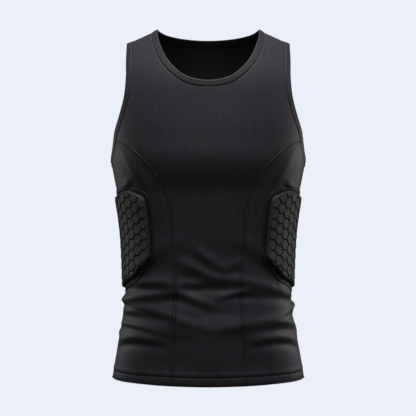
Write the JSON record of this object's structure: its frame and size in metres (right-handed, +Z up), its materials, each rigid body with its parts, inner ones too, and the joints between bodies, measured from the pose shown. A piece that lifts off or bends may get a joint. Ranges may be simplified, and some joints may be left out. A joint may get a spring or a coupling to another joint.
{
  "type": "protective vest",
  "caption": "Close-fitting sleeveless black sports vest with a scooped neck, bound edges, curved side panels and raised honeycomb foam pads over the ribs, hollow as when worn.",
  "frame": {"origin": "on the wearer's shoulder line, midway between the two straps at mid-strap height, level with the side line of the torso", "axes": "+Z up, +X to the wearer's left, -Y to the front"},
  "size_m": [0.3684, 0.2368, 0.6626],
  "materials": {
    "knit": "black stretch warp knit, faintly lustrous",
    "binding": "black folded stretch binding",
    "foam": "black moulded closed-cell foam, matt"
  },
  "bodies": {
    "root": {"front_panel": "knit", "back_panel": "knit", "side_panel_left": "knit", "side_panel_right": "knit", "neck_binding": "binding", "armhole_binding_left": "binding", "armhole_binding_right": "binding", "rib_pad_left": "foam", "rib_pad_right": "foam", "pad_flange_left": "binding", "pad_flange_right": "binding"}
  },
  "joints": []
}
